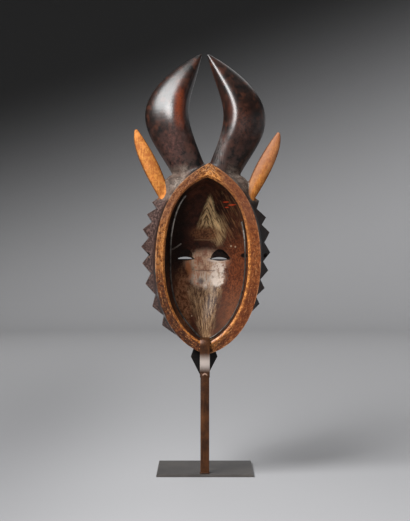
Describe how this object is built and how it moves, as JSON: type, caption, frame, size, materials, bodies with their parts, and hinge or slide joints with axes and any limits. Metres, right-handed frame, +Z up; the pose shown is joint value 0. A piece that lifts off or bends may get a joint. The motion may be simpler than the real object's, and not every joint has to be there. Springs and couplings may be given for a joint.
{
  "type": "horned face mask on display stand",
  "caption": "Hollow carved wooden face mask with a toothed edge, curved horns and ears, held upright by a bent bar and wire cradle on a flat base plate.",
  "frame": {"origin": "centre of the base plate's flat underside, on the surface the stand rests on", "axes": "+Z up, +X to the right seen from the open back of the mask, +Y from the open back towards the face"},
  "size_m": [0.1961, 0.1089, 0.5632],
  "materials": {
    "carved_wood": "hand carved, black polished outside, bare and worn wood at the rim and inside",
    "plate_steel": "dark grey-brown satin coating",
    "post_steel": "bronze-brown satin coating",
    "cradle_wire": "dark coating, rubbed to grey metal in places"
  },
  "bodies": {
    "root": {"mask": "carved_wood", "stand_base_plate": "plate_steel", "stand_post": "post_steel", "stand_cradle": "cradle_wire"}
  },
  "joints": []
}
